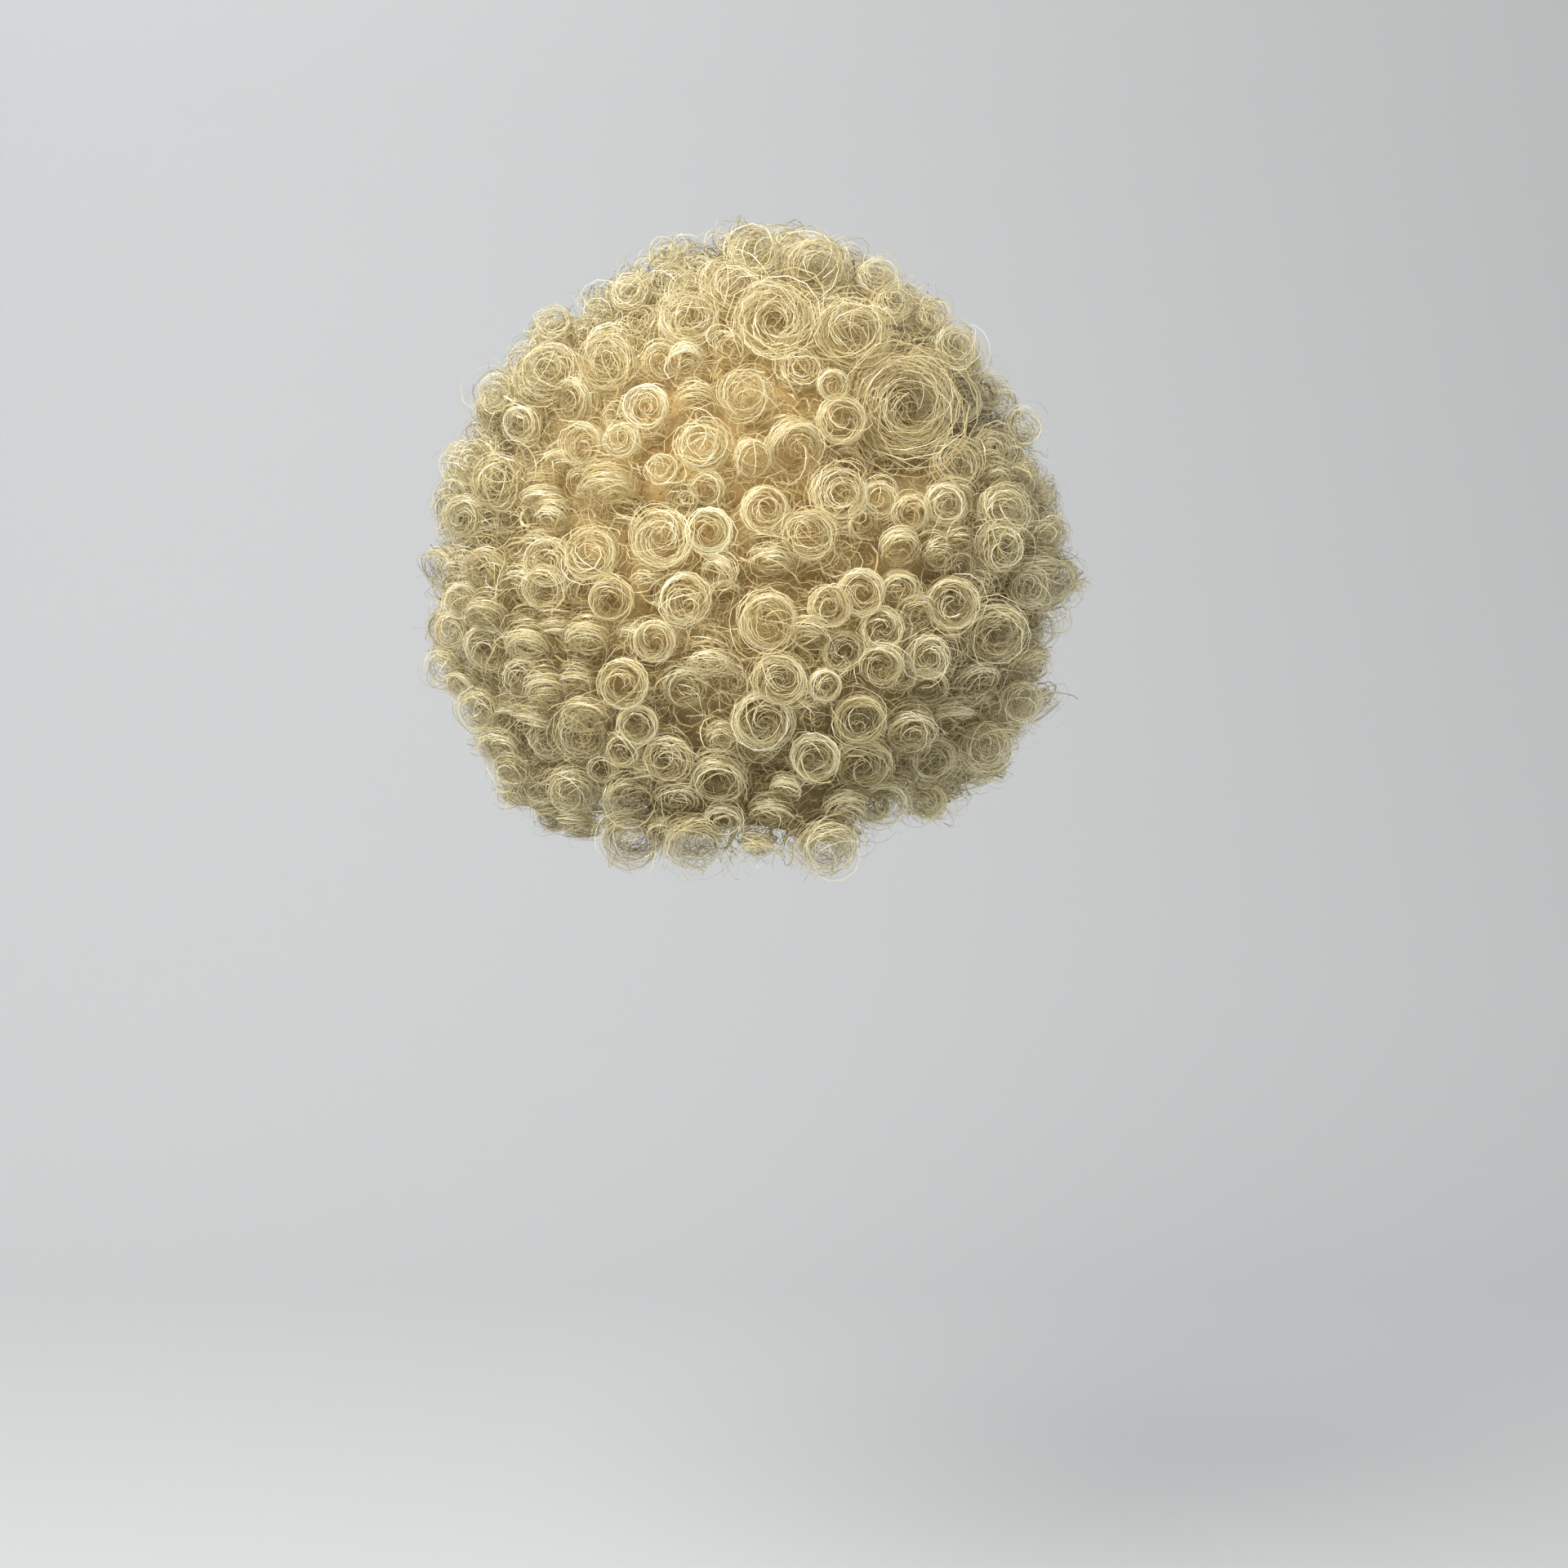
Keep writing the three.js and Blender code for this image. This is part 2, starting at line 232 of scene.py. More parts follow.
# How a ringlet's strands lie, for those in a ring, those in a spiral and those astray: the share of
# each in a loose and in a neat ringlet; the limits of the radius at a strand's start, as a share of the
# ringlet's, and at its end, as a share of that at its start; and how far it strays, tilts and wavers.
STRAND_KINDS = {
    "loose": (0.12, 0.56, 0.32),
    "neat": (0.55, 0.38, 0.07),
    "start": ((0.84, 1.02), (0.5, 1.02), (0.7, 1.2)),
    "end": ((0.88, 1.06), (0.12, 0.8), (0.6, 1.1)),
    "stray": (0.07, 0.13, 0.25),
    "tilt": (0.1, 0.2, 0.45),
    "waver": (0.3, 0.55, 1.1),
}


def smooth(share):
    """An eased step from 0 to 1."""
    share = np.clip(share, 0.0, 1.0)
    return share * share * (3.0 - 2.0 * share)


def unit(vectors):
    return vectors / np.linalg.norm(vectors, axis=-1, keepdims=True)


def direction(around, down):
    """Unit vectors out of the head, from angles in degrees."""
    around, down = np.radians(around), np.radians(down)
    flat = np.sin(down)
    return np.stack((flat * np.sin(around), -flat * np.cos(around), np.cos(down)), axis=-1)


def angles_of(ray):
    around = np.degrees(np.arctan2(ray[..., 0], -ray[..., 1]))
    return around, np.degrees(np.arccos(np.clip(ray[..., 2], -1.0, 1.0)))


def edge_at(around, column):
    side = np.abs((np.asarray(around) + 180.0) % 360.0 - 180.0)
    return np.interp(side, LOWER_EDGE["around"], LOWER_EDGE[column])


def reach_at(ray):
    """How far the ringlets' ends are from the middle of the head in each direction."""
    clock = np.degrees(np.arctan2(ray[..., 0], ray[..., 2])) % 360.0
    lengthways = np.where(ray[..., 1] < 0, BACK_REACH, FRONT_REACH)
    facing = ray[..., 1] ** 2
    sideways = HAIR_REACH * np.interp(clock, OUTLINE["clock"], OUTLINE["reach"])
    reach = sideways * (1.0 - facing) + lengthways * facing
    for start, end, half_width, depth in CREASES:
        first, last = direction(*start), direction(*end)
        run = last - first
        share = np.clip((ray - first) @ run / (run @ run), 0.0, 1.0)
        nearest = unit(first + share[..., None] * run)
        away = np.degrees(np.arccos(np.clip(np.sum(ray * nearest, axis=-1), -1.0, 1.0)))
        reach = reach - HAIR_REACH * depth * (1.0 - smooth(away / half_width))
    for middle, spread, extra in STANDOUTS:
        away = np.degrees(np.arccos(np.clip(ray @ direction(*middle), -1.0, 1.0)))
        reach = reach + HAIR_REACH * extra * (1.0 - smooth(away / spread))
    return reach


def head_point(ray, outward):
    """The head's surface in each direction, or a layer that lies outward of it."""
    half_height = np.where(ray[..., 2] > 0, CROWN_HEIGHT, HEAD_TAPER)
    halves = np.stack((np.full_like(half_height, HEAD_HALF_WIDTH),
                       np.full_like(half_height, HEAD_HALF_DEPTH), half_height), axis=-1) + outward
    return ray / np.linalg.norm(ray / halves, axis=-1, keepdims=True) + HEAD_CENTRE


def root_point(around, down):
    """Where the hair that ends in a direction grows from the cap."""
    root_down = down * edge_at(around, "cap") / edge_at(around, "hair")
    return head_point(direction(around, root_down), CAP_WALL + SEWN_GAP)


def tip_point(around, down):
    ray = direction(around, down)
    return ray * reach_at(ray)[..., None] + HEAD_CENTRE


def row_of(down):
    """The index of the row that hair belongs to, from how far down its tips are."""
    row_angle = (edge_at(0, "hair") - TUFT_ANGLE) / (len(ROWS) - 1)
    return np.clip(np.floor((down - TUFT_ANGLE) / row_angle).astype(int) + 1, 0, len(ROWS) - 1)


def seen_on_hair(pixel_x, pixel_y):
    """The directions out of the head where the view from behind shows these pixels of the hair."""
    across = (pixel_x - ORIGIN_PIXEL[0]) * PIXEL
    up = (ORIGIN_PIXEL[1] - pixel_y) * PIXEL
    plane = np.stack((across, np.zeros_like(across), up), axis=-1)
    share = np.linspace(0.8, 1.0, 201)[None, :, None]
    line = CAMERA_PLACE + (plane - CAMERA_PLACE)[:, None, :] * share - HEAD_CENTRE
    distance = np.linalg.norm(line, axis=-1)
    outside = distance - reach_at(line / distance[..., None])
    inside = outside < 0
    first = np.where(inside.any(axis=1), inside.argmax(axis=1), outside.argmin(axis=1))
    return unit(line[np.arange(len(line)), first])


class Locks:
    """Ringlets or loose strands, as one array for each of their sizes. Their tips are sunk into the
    hair, those seen from their side are drawn in by a share of their width as well, and their axes
    point out of it, turned to the back or the front, and hanging."""

    def __init__(self, ray, rng, sunk, width, drawn_in, turned, hang, neat):
        count = len(ray)
        self.ray = ray
        self.width = width
        self.neat = neat
        self.hang = hang
        tip = ray * reach_at(ray)[:, None] + HEAD_CENTRE
        run = tip - root_point(*angles_of(ray))
        self.length = np.linalg.norm(run, axis=1)
        self.flow = unit(run)
        backward = np.where(ray[:, 1] < FRONT_HALF, -1.0, 1.0) * turned
        axis = self.flow + backward[:, None] * (0.0, 1.0, 0.0)
        axis = axis + rng.normal(0.0, AXIS_SCATTER, (count, 3))
        self.axis = unit(unit(axis) * (1.0 - hang)[:, None] + hang[:, None] * (0.0, 0.0, -1.0))
        sideways = np.linalg.norm(np.cross(self.axis, self.flow), axis=1)
        self.tip = tip - self.flow * (sunk + width * drawn_in * sideways)[:, None]
        self.hand = rng.choice((-1.0, 1.0), count)
        self.phase = rng.uniform(0.0, 2.0 * math.pi, count)
        self.pitch = rng.uniform(1.5, 4.0, count)
        self.tone = rng.uniform(0.0, 1.0, count)

    def chosen(self, index):
        """The same locks, or some of them, with one entry for each index."""
        some = copy.copy(self)
        for name, values in vars(self).items():
            setattr(some, name, values[index])
        return some


def scatter(seen, seen_width, spacing, rng):
    """Directions and widths of all the ringlets: the seen ones first, then others in the room left."""
    rays = list(seen)
    widths = list(seen_width)
    candidates = unit(rng.normal(size=(CANDIDATES, 3)))
    around, down = angles_of(candidates)
    margin = np.where(np.abs(around) < NAPE_HALF, NAPE_MARGIN, EDGE_MARGIN)
    candidates = candidates[down < edge_at(around, "hair") - margin]
    for ray in candidates:
        width = rng.uniform(*STREWN_WIDTH)
        gap = np.linalg.norm(np.array(rays) - ray, axis=1) * HAIR_REACH
        sparser = 1.0 + 0.3 * smooth((ray[2] + 0.1) / 0.7)
        if np.all(gap > (np.minimum(widths, WIDEST_GAP) + width) * 0.5 * spacing * sparser):
            rays.append(ray)
            widths.append(width)
    return np.array(rays), np.array(widths)


def frames_along(axis):
    """Two unit vectors square to each axis."""
    side = unit(np.cross(axis, np.where(np.abs(axis[:, 2:]) > 0.8, (1.0, 0.0, 0.0), (0.0, 0.0, 1.0))))
    return side, np.cross(axis, side)


def coil(lock, rng, steps, turns, radius, start, waver, waves):
    """Centre lines of strands wound round their lock's axis, as (strand, step, xyz), with the
    directions away from the axis. radius holds a strand's first and last, and waves the limits of how
    often it wavers on its way; the others hold one value for each strand."""
    along = np.linspace(0.0, 1.0, steps)[None, :]
    side, other = frames_along(lock.axis)
    angle = lock.hand[:, None] * (lock.phase[:, None] + start[:, None] * 2.0 * math.pi
                                  + 2.0 * math.pi * turns[:, None] * along)
    reach = radius[0][:, None] + (radius[1] - radius[0])[:, None] * smooth((along - 0.35) / 0.65)
    rate = rng.uniform(*waves, (len(angle), 2, 1)) * 2.0 * math.pi
    shift = rng.uniform(0.0, 2.0 * math.pi, (len(angle), 2, 1))
    sway = np.sin(rate * along[:, None, :] + shift) * waver[:, None, None]
    reach = reach + sway[:, 0]
    height = (lock.pitch * turns)[:, None] * (along - 1.0) + sway[:, 1]
    outward = (np.cos(angle)[..., None] * side[:, None, :] + np.sin(angle)[..., None] * other[:, None, :])
    path = lock.tip[:, None, :] + outward * reach[..., None] + lock.axis[:, None, :] * height[..., None]
    return path, outward


def ribbons(lock, path, outward, width, bevel, warmth_and_shade, tone):
    """Flat strands along their centre lines, as vertices, faces and UV corners. A bevel of 0 lies flat
    across the end of its ringlet, and one of a quarter turn lies on its side. Each strand's place on
    the map is its colour: how warm it is, darker at the sides and below as painted shade, and how pale,
    rising from its root to its tip; the darkest tones are painted shade in the depths."""
    count, steps, _ = path.shape
    forward = unit(np.gradient(path, axis=1))
    upward = unit(np.cross(outward, forward)) * lock.hand[:, None, None]
    across = np.cos(bevel)[:, None, None] * outward - np.sin(bevel)[:, None, None] * upward
    along = np.linspace(0.0, 1.0, steps)[None, :]
    half = 0.5 * (lock.hand * width)[:, None] * (1.0 - 0.55 * smooth((along - 0.7) / 0.3))
    left = path - across * half[..., None]
    right = path + across * half[..., None]
    verts = np.stack((left, right), axis=2).reshape(-1, 3)
    first = (np.arange(count)[:, None] * steps + np.arange(steps - 1)[None, :]).ravel() * 2
    faces = np.stack((first, first + 1, first + 3, first + 2), axis=1)
    uv = np.empty((count, steps, 2, 2))
    sides = np.array((-MAP_HALF_WIDTH, MAP_HALF_WIDTH))
    uv[..., 0] = np.clip(warmth_and_shade, *WARMTH_RANGE)[:, None, None] + sides
    uv[..., 1] = np.clip(tone[:, None] + 0.25 * (along - 0.5), *TONE_RANGE)[..., None]
    return verts, faces, uv.reshape(-1, 2)


def join(parts):
    """Several lots of vertices, faces and UV corners as one."""
    verts, faces, uvs = [], [], []
    offset = 0
    for part_verts, part_faces, part_uvs in parts:
        verts.append(part_verts)
        faces.append(part_faces + offset)
        uvs.append(part_uvs)
        offset += len(part_verts)
    return np.concatenate(verts), np.concatenate(faces), np.concatenate(uvs)


def mesh_object(name, verts, faces, uv):
    """An object at the origin from arrays of four-cornered faces, with its own UV map."""
    if not len(faces):
        raise RuntimeError(f"{name} has no faces")
    mesh = bpy.data.meshes.new(name)
    mesh.vertices.add(len(verts))
    mesh.vertices.foreach_set("co", (verts * MM).astype(np.float32).ravel())
    mesh.loops.add(faces.size)
    mesh.loops.foreach_set("vertex_index", faces.astype(np.int32).ravel())
    mesh.polygons.add(len(faces))
    mesh.polygons.foreach_set("loop_start", np.arange(0, faces.size, 4, dtype=np.int32))
    layer = mesh.uv_layers.new(name="OFBake")
    layer.uv.foreach_set("vector", uv[faces.ravel()].astype(np.float32).ravel())
    mesh.update(calc_edges=True)
    mesh.shade_smooth()
    obj = bpy.data.objects.new(name, mesh)
    bpy.context.scene.collection.objects.link(obj)
    return obj


class Socket:
    """A node's output that takes part in Python arithmetic, each step adding a Math node."""

    def __init__(self, nodes, output):
        self.nodes = nodes
        self.output = output

    def combine(self, operation, first, second):
        return self.nodes.add("ShaderNodeMath", {"operation": operation}, first, second)

    def __add__(self, other):
        return self.combine("ADD", self, other)

    def __radd__(self, other):
        return self.combine("ADD", other, self)

    def __sub__(self, other):
        return self.combine("SUBTRACT", self, other)

    def __rsub__(self, other):
        return self.combine("SUBTRACT", other, self)

    def __mul__(self, other):
        return self.combine("MULTIPLY", self, other)

    def __rmul__(self, other):
        return self.combine("MULTIPLY", other, self)

    def __pow__(self, other):
        return self.combine("POWER", self, other)

    def larger(self, other):
        return self.combine("MAXIMUM", self, other)

    def angle(self, other):
        """How far round a point lies, in radians: this value is its place across, and other along."""
        return self.combine("ARCTAN2", self, other)

    def wave(self):
        """A smooth wave from 0 to 1, one for each whole step of the value."""
        return self.combine("SINE", self * math.pi, None) ** 2.0


class Finish:
    """A material and its nodes."""

    def __init__(self, name):
        self.material = bpy.data.materials.new(name)
        self.material.use_nodes = True
        self.tree = self.material.node_tree
        self.shader = self.tree.nodes["Principled BSDF"]

    def set(self, **sockets):
        for name, value in sockets.items():
            socket = self.shader.inputs[name.replace("_", " ")]
            if isinstance(value, Socket):
                self.tree.links.new(value.output, socket)
            else:
                socket.default_value = value

    def add(self, kind, settings, *values, output=0, **named):
        """A node of a kind, with its settings, and the values or links of its sockets."""
        node = self.tree.nodes.new(kind)
        for name, value in settings.items():
            if name == "stops":
                ramp = node.color_ramp
                for stop, (place, colour) in enumerate(value):
                    element = ramp.elements[stop] if stop < 2 else ramp.elements.new(place)
                    element.position = place
                    element.color = (*colour, 1.0)
            else:
                setattr(node, name, value)
        pairs = list(zip(node.inputs, values))
        shown = {socket.name: socket for socket in node.inputs if socket.enabled}
        pairs += [(shown[name.replace("_", " ")], value) for name, value in named.items()]
        for socket, value in pairs:
            if isinstance(value, Socket):
                self.tree.links.new(value.output, socket)
            elif value is not None:
                socket.default_value = value
        return Socket(self, node.outputs[output])

    def parts(self, vector):
        """The X, Y and Z of a vector, each a Socket."""
        separate = self.add("ShaderNodeSeparateXYZ", {}, vector).output.node
        return [Socket(self, output) for output in separate.outputs]


def hair_finish(look):
    """Silky synthetic hair: golden at its roots, nearly white at its tips, with painted shade in its
    depths.
    """
    finish = Finish("hair_blond")
    warmth_and_shade, tone, _ = finish.parts(finish.add("ShaderNodeUVMap", {"uv_map": "OFBake"}))
    # The dark end of each ramp is painted shade, for buried strands, the deep frizz and the mat.
    ramps = [
        finish.add("ShaderNodeValToRGB", {"stops": (
            (0.0, tuple(deep)),
            (0.45, tuple(middle)),
            (1.0, tuple(tip)),
        )}, tone)
        for deep, middle, tip in ((look.cool_depth_shade, look.cool_shaded_colour, look.cool_shaded_tip),
                                  (look.warm_depth_shade, look.warm_colour, look.warm_tip))
    ]
    # Mixed towards the darker cool ramp round the sides and below: painted shade.
    colour = finish.add("ShaderNodeMix", {"data_type": "RGBA"}, warmth_and_shade, output=2,
                        A=ramps[0], B=ramps[1])
    # The mat below is dull, so that it doesn't shine between the strands.
    roughness = finish.add("ShaderNodeMapRange", {},
                           tone, MAT_SHADE_TONE[1], TONE_RANGE[0], MAT_ROUGHNESS, look.roughness)
    finish.set(Base_Color=colour, Roughness=roughness, Specular_IOR_Level=0.85)
    finish.set(Sheen_Weight=0.15, Sheen_Roughness=0.4)
    return finish.material


def net_finish():
    """Stretch net with a line of stitching for each row of hair."""
    finish = Finish("stretch_net")
    object_output = 3
    x, y, z = finish.parts(finish.add("ShaderNodeTexCoord", {}, output=object_output))
    around = x.angle(y) * (HEAD_HALF_DEPTH * MM / NET_CELL)
    level = z * (1.0 / NET_CELL)
    threads = (around + level).wave().larger((around - level).wave()) ** 3.0
    stitching = (z * (1.0 / STITCH_STEP)).wave() ** 12.0
    net = finish.add("ShaderNodeMix", {"data_type": "RGBA"}, threads, output=2,
                     A=(0.30, 0.22, 0.12, 1.0), B=(0.66, 0.53, 0.33, 1.0))
    colour = finish.add("ShaderNodeMix", {"data_type": "RGBA"}, stitching, output=2,
                        A=net, B=(0.80, 0.69, 0.44, 1.0))
    relief = finish.add("ShaderNodeBump", {}, Strength=0.7, Distance=0.0006,
                        Height=threads * 0.5 + stitching)
    finish.set(Base_Color=colour, Roughness=0.85, Normal=relief)
    return finish.material


def hem_finish():
    """Soft elastic tape."""
    finish = Finish("hem_tape")
    finish.set(Base_Color=(0.72, 0.60, 0.40, 1.0), Roughness=0.7, Sheen_Weight=0.3)
    return finish.material


class WigSettings(bpy.types.PropertyGroup):
    """Sizes and colours of the hair that a user would change."""

    spacing: bpy.props.FloatProperty(
        name="Spacing", description="Distance between ringlets, as a share of their width",
        default=0.85, min=0.6, max=2.0)
    strand_width: bpy.props.FloatProperty(
        name="Strand width", description="Width of one flat strand",
        default=0.0004, unit="LENGTH", subtype="DISTANCE")
    strands: bpy.props.IntProperty(
        name="Strands", description="Strands in a ringlet of the usual width", default=44, min=4, max=60)
    steps: bpy.props.IntProperty(
        name="Steps", description="Points along each strand of a ringlet", default=13, min=6, max=60)
    frizz: bpy.props.IntProperty(
        name="Frizz", description="Loose strands, sown all round before the open face is left out",
        default=15500, min=0)
    fringe: bpy.props.IntProperty(
        name="Fringe", description="Strands that show at the lower edge, sown like the frizz",
        default=24000, min=0)
    seed: bpy.props.IntProperty(name="Seed", description="Start of the random places", default=3)
    # The depth colours are painted shade in the depths of the hair.
    cool_depth_shade: bpy.props.FloatVectorProperty(
        name="Cool depths", description="Colour in the depths of the hair at the sides",
        default=(0.19, 0.135, 0.045), subtype="COLOR", min=0.0, max=1.0)
    # The cool colours, used round the sides and below, are darker than the warm ones: painted shade.
    cool_shaded_colour: bpy.props.FloatVectorProperty(
        name="Cool colour", description="Colour of most of the hair at the sides",
        default=(0.49, 0.41, 0.195), subtype="COLOR", min=0.0, max=1.0)
    cool_shaded_tip: bpy.props.FloatVectorProperty(
        name="Cool tips", description="Colour of the palest strands at the sides",
        default=(0.86, 0.80, 0.53), subtype="COLOR", min=0.0, max=1.0)
    warm_depth_shade: bpy.props.FloatVectorProperty(
        name="Warm depths", description="Colour in the depths of the hair behind the crown",
        default=(0.52, 0.34, 0.12), subtype="COLOR", min=0.0, max=1.0)
    warm_colour: bpy.props.FloatVectorProperty(
        name="Warm colour", description="Colour of most of the hair behind the crown",
        default=(0.74, 0.60, 0.27), subtype="COLOR", min=0.0, max=1.0)
    warm_tip: bpy.props.FloatVectorProperty(
        name="Warm tips", description="Colour of the palest strands behind the crown",
        default=(0.94, 0.87, 0.58), subtype="COLOR", min=0.0, max=1.0)
    roughness: bpy.props.FloatProperty(
        name="Roughness", description="Roughness of the strands", default=0.29, subtype="FACTOR",
        min=0.0, max=1.0)


def warmth_and_shade_at(ray):
    """How golden the hair is: warmest behind the crown, and cooler round the sides and below, where the
    darker colours are painted shade.
    """
    away = np.degrees(np.arccos(np.clip(ray @ direction(*WARMEST), -1.0, 1.0)))
    return 0.9 - 0.75 * smooth((away - 15.0) / 60.0)


def warmths_and_shade(ray, rng):
    """The warmth of each strand, with painted shade at the sides and below, scattered about that of its
    place.
    """
    return warmth_and_shade_at(ray) + rng.normal(0.0, WARMTH_SCATTER, len(ray))


def limits(column, kind, rng):
    """A share of the radius for each strand, between its kind's limits in a column of STRAND_KINDS."""
    low, high = np.array(STRAND_KINDS[column])[kind].T
    return rng.uniform(low, high)


def ringlet_part(locks, look, rng):
    """The strands of some of the ringlets. Most lie together as a ring, some wind in towards its
    middle, and the rest stray."""
    _, down = angles_of(locks.ray)
    thicker = 1.0 + 0.9 * smooth((down - 138.0) / 12.0)
    strands = np.round(look.strands * thicker * locks.width / USUAL_WIDTH).astype(int)
    lock = locks.chosen(np.repeat(np.arange(len(strands)), strands))
    total = len(lock.width)
    shares = np.array(STRAND_KINDS["loose"]) * (1.0 - lock.neat[:, None])
    shares = np.cumsum(shares + np.array(STRAND_KINDS["neat"]) * lock.neat[:, None], axis=1)
    kind = np.sum(rng.random((total, 1)) > shares[:, :2], axis=1)
    half = lock.width * 0.5
    first = half * limits("start", kind, rng)
    radius = (first, first * limits("end", kind, rng))
    side, other = frames_along(lock.axis)
    untidy = 1.7 - lock.neat
    # A wide swirl's strands stray and tilt no further out of the hair than a usual one's.
    room = np.minimum(half, WIDEST_STRAY)
    aside = np.clip(rng.normal(0.0, 1.0, (2, total)), -1.5, 1.5) * room
    aside = aside * untidy * np.array(STRAND_KINDS["stray"])[kind]
    buried = np.minimum(rng.exponential(1.0, total), MOST_BURIED)
    lift = 2.0 - buried * (3.0 + 6.0 * lock.hang)
    lock.tip = lock.tip + side * aside[0][:, None] + other * aside[1][:, None] + lock.axis * lift[:, None]
    tilt = untidy * np.array(STRAND_KINDS["tilt"])[kind] * room / half
    lock.axis = unit(lock.axis + np.clip(rng.normal(0.0, 1.0, (total, 3)), -1.5, 1.5) * tilt[:, None])
    turns = rng.uniform(0.55, 1.35, total)
    path, outward = coil(lock, rng, look.steps, turns, radius, rng.random(total),
                         np.array(STRAND_KINDS["waver"])[kind], (1.0, 2.6))
    width = look.strand_width / MM * rng.uniform(0.5, 1.25, total)
    bevel = math.pi / 4.0 * (1.0 + 0.7 * lock.hang) + rng.normal(0.0, 0.4, total)
    # Buried strands are darker: painted shade inside the ringlet.
    tone = 0.25 + 0.2 * lock.tone + rng.uniform(0.0, 0.6, total) + 0.12 * (kind == 0) - 0.14 * buried
    return ribbons(lock, path, outward, width, bevel, warmths_and_shade(lock.ray, rng), tone)


def rays_in_row(row, count, inset, rng):
    """Directions strewn over the hair of a row, out of so many sown all round, that keep some degrees
    away from the lower edge."""
    ray = unit(rng.normal(size=(count, 3)))
    around, down = angles_of(ray)
    return ray[(down < edge_at(around, "hair") - inset) & (row_of(down) == row)]


def frizz_part(row, layer, look, rng):
    """Loose fine strands that curl every way between the ringlets of a row."""
    inset = layer["sunk"][1] / MAT_SUNK * EDGE_DEPTH
    ray = rays_in_row(row, round(look.frizz * layer["share"]), inset, rng)
    count = len(ray)
    none = np.zeros(count)
    lock = Locks(ray, rng, rng.uniform(*layer["sunk"], count), none, none, none, none, none)
    lock.axis = unit(rng.normal(0.0, 1.0, (count, 3)))
    lock.pitch = rng.uniform(3.0, 10.0, count)
    radius = rng.uniform(*layer["radius"], count)
    path, outward = coil(lock, rng, 13, rng.uniform(0.7, 1.6, count),
                         (radius, radius * rng.uniform(0.5, 1.4, count)), none,
                         rng.uniform(0.4, 1.4, count), (1.5, 3.5))
    width = look.strand_width / MM * rng.uniform(*layer["width"], count)
    warmth_and_shade = warmths_and_shade(ray, rng)
    # The layers' tones are darker the deeper they lie: painted shade.
    return ribbons(lock, path, outward, width, rng.uniform(0.0, math.pi, count), warmth_and_shade,
                   rng.uniform(*layer["tone"], count))


def fringe_part(row, look, rng):
    """Wavy strands from the cap out to the tips, along the hair's lower edge and round the face."""
    ray = rays_in_row(row, look.fringe, 0.0, rng)
    around, down = angles_of(ray)
    ray = ray[down > edge_at(around, "hair") - 1.5 * EDGE_DEPTH]
    count = len(ray)
    none = np.zeros(count)
    lock = Locks(ray, rng, rng.uniform(4.0, 20.0, count), none, none, none, none, none)
    lock.axis = unit(lock.flow + rng.normal(0.0, 0.06, (count, 3)))
    lock.pitch = rng.uniform(13.0, 26.0, count)
    turns = 0.93 * lock.length / lock.pitch
    radius = (rng.uniform(0.5, 2.0, count), rng.uniform(2.0, 5.0, count))
    path, outward = coil(lock, rng, 26, turns, radius, none, rng.uniform(0.3, 1.0, count), (1.0, 4.0))
    width = look.strand_width / MM * rng.uniform(0.8, 1.6, count)
    warmth_and_shade = warmths_and_shade(ray, rng)
    return ribbons(lock, path, outward, width, rng.uniform(0.0, math.pi, count), warmth_and_shade,
                   rng.uniform(0.2, 0.7, count))


def mat_part(row):
    """The dense mat of hair under a row's ringlets, as a band from its roots outward, coloured dark as
    painted shade.
    """
    row_angle = (edge_at(0, "hair") - TUFT_ANGLE) / (len(ROWS) - 1)
    top = MAT_HOLE if row == 0 else TUFT_ANGLE + (row - 1) * row_angle
    low = TUFT_ANGLE if row == 0 else top + row_angle
    around = np.arange(-180.0, 180.0, MAT_STEP)
    bottom = np.minimum(low, edge_at(around, "hair") - EDGE_DEPTH)
    open_here = bottom > top
    open_here = open_here | np.roll(open_here, 1) | np.roll(open_here, -1)
    around, bottom = around[open_here], bottom[open_here]
    # Past its ends a mat runs on for a section beneath the one above, along the same lower edge.
    top = np.minimum(top, bottom - MAT_OVERLAP)
    rings = []
    for share in np.linspace(0.0, 1.0, MAT_RINGS):
        down = top + (bottom - top) * share
        tip, root = tip_point(around, down), root_point(around, down)
        rings.append(tip + unit(root - tip) * MAT_SUNK)
    rings.append(root_point(around, bottom))
    rings.append(root_point(around, top))
    grid = np.stack(rings, axis=1)
    sections, corners, _ = grid.shape
    spans = sections if open_here.all() else sections - 1
    here = np.arange(spans)[:, None] * corners
    there = ((np.arange(spans) + 1) % sections)[:, None] * corners
    corner = np.arange(corners)[None, :]
    beside = (corner + 1) % corners
    faces = np.stack((here + corner, here + beside, there + beside, there + corner), axis=-1)
    uv = np.empty((sections, corners, 2))
    uv[..., 0] = warmth_and_shade_at(direction(around, bottom))[:, None] + np.linspace(-0.03, 0.03, corners)
    # The mat takes the darkest tones: painted shade under the hair.
    uv[..., 1] = np.linspace(*MAT_SHADE_TONE, corners)
    return grid.reshape(-1, 3), faces.reshape(-1, 4), uv.reshape(-1, 2)


